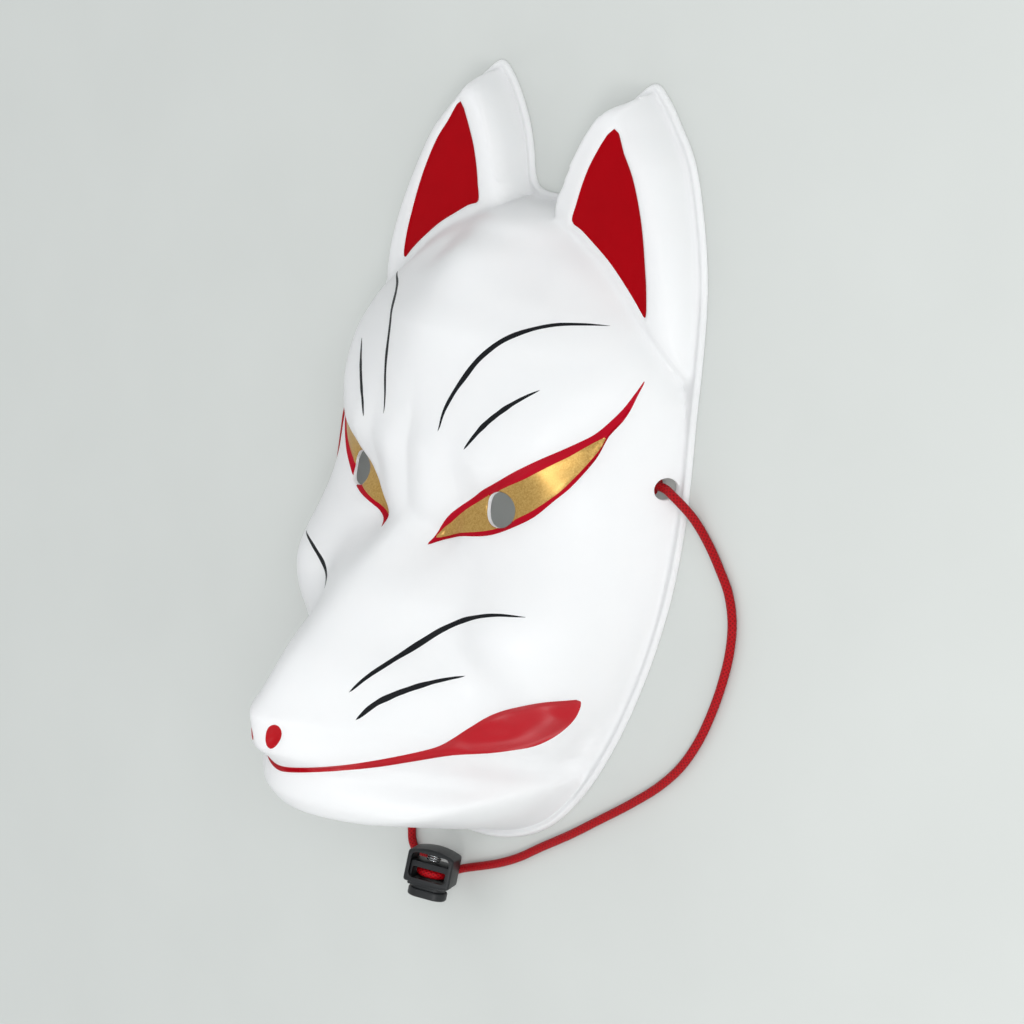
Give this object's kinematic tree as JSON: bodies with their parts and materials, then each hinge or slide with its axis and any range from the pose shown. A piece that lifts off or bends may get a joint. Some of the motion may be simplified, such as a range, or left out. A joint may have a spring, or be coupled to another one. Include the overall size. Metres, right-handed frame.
{
  "type": "japanese mask",
  "caption": "Full-face fox mask, a thin moulded shell open at the back, with upright ears, see-through eyes and a round cord held by a spring lock.",
  "frame": {"origin": "on the floor under the middle of the rim, the mask lying face up", "axes": "+Z out of the face, +Y towards the ears, +X towards the mask's own left side, which is on the right when it is looked at"},
  "size_m": [0.1898, 0.2746, 0.0917],
  "materials": {
    "shell": "smooth white moulded plastic under a satin coat, painted red, gold and black",
    "cord": "round braided cord",
    "lock": "black moulded plastic, satin",
    "spring": "bright wire"
  },
  "bodies": {
    "root": {"mask_shell": "shell", "cord_right_strand": "cord", "cord_in_lock": "cord", "cord_left_strand": "cord", "cord_knot_right": "cord", "cord_knot_left": "cord", "cord_lock_body": "lock", "cord_lock_plunger": "lock", "cord_lock_spring": "spring"}
  },
  "joints": []
}
